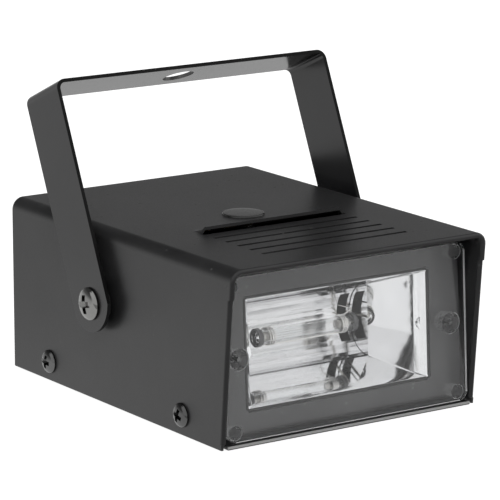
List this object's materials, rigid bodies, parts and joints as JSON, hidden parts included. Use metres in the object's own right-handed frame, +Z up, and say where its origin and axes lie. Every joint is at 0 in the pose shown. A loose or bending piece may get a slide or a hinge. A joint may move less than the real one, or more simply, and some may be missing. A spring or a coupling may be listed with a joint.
{
  "type": "xenon stroboscope",
  "caption": "Small xenon strobe lamp in a black folded-steel box with hooded window, mirrored reflector, rear rate knob and a tilting U-shaped mounting yoke.",
  "frame": {"origin": "middle of the underside of the housing, at its width's and base depth's centre", "axes": "+Z up, -Y out of the lamp window, +X to the right of someone who looks into the window"},
  "size_m": [0.136, 0.173, 0.126],
  "materials": {
    "black_paint": "fine satin powder coat",
    "clear_plastic": "clear gloss",
    "metallised": "bright vacuum metallised",
    "polished_sheet": "bright rolled aluminium",
    "tube_glass": "clear",
    "electrode_metal": "drawn",
    "trigger_wire": "tinned",
    "zinc_steel": "bright zinc",
    "black_steel": "black zinc",
    "board": "varnished paper laminate",
    "coil": "lacquered wire",
    "lead_red": "wire insulation",
    "lead_white": "wire insulation",
    "brass": "turned",
    "sleeve_blue": "shrunk sleeve",
    "film_yellow": "moulded",
    "ceramic": "unglazed ceramic",
    "black_epoxy": "moulded",
    "fuse_glass": "clear",
    "terminal_plastic": "moulded",
    "pot_case": "plated",
    "shaft_metal": "turned",
    "black_plastic": "moulded",
    "plug_plastic": "moulded",
    "rubber": "moulded",
    "rivet_metal": "drawn"
  },
  "bodies": {
    "housing": {"top_cover": "black_paint", "hole_plug": "plug_plastic", "base_chassis": "black_paint", "front_panel": "black_paint", "clear_window": "clear_plastic", "window_screws": "zinc_steel", "reflector_bezel": "metallised", "reflector_trough": "polished_sheet", "flash_tube": "tube_glass", "tube_end_rings": "rubber", "tube_electrodes": "electrode_metal", "trigger_wire": "trigger_wire", "lamp_board": "board", "lamp_board_screws": "zinc_steel", "trigger_coil": "coil", "lamp_leads": "lead_red", "main_board": "board", "board_standoffs": "brass", "board_screws": "zinc_steel", "storage_capacitors": "sleeve_blue", "film_capacitor": "film_yellow", "power_resistor": "ceramic", "rectifier_diodes": "black_epoxy", "thyristor": "black_epoxy", "fuse_link": "fuse_glass", "fuse_clips": "brass", "terminal_block": "terminal_plastic", "speed_potentiometer": "pot_case", "control_leads": "lead_white", "potentiometer_nut": "zinc_steel", "cable_gland": "black_plastic", "gland_nut": "black_plastic", "pivot_screws": "zinc_steel", "pivot_spacers": "rubber", "pivot_washers": "zinc_steel", "pivot_nuts": "zinc_steel", "cover_screws": "black_steel", "panel_rivets": "rivet_metal"},
    "yoke": {"mounting_yoke": "black_paint"},
    "knob": {"speed_knob": "black_plastic", "potentiometer_shaft": "shaft_metal"}
  },
  "joints": [
    {"name": "yoke_tilt", "type": "hinge", "parent": "housing", "child": "yoke", "pos_m": [0, 0.0092, 0.0404], "axis": [1, 0, 0], "range_deg": [-205, 80]},
    {"name": "speed_control", "type": "hinge", "parent": "housing", "child": "knob", "pos_m": [0.028, 0.078, 0.038], "axis": [0, 1, 0], "range_deg": [-150, 150]}
  ]
}
